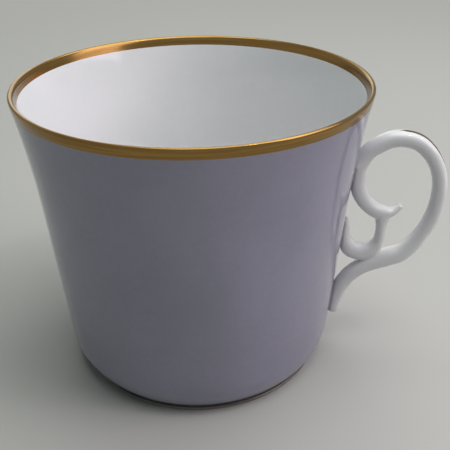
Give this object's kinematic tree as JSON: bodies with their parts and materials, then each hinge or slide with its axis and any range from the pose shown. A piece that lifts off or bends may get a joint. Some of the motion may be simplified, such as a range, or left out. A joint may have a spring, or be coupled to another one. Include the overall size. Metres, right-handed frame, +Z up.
{
  "type": "coffee cup",
  "caption": "Porcelain coffee cup with a slightly flared straight wall, a low foot ring, a gilded lip and a pierced scroll handle.",
  "frame": {"origin": "on the cup's axis, in the plane that the foot ring rests on", "axes": "+Z up out of the mouth, +X out through the handle, +Y to the side"},
  "size_m": [0.1014, 0.082, 0.0717],
  "materials": {
    "porcelain": "glossy glaze"
  },
  "bodies": {
    "root": {"cup": "porcelain"}
  },
  "joints": []
}
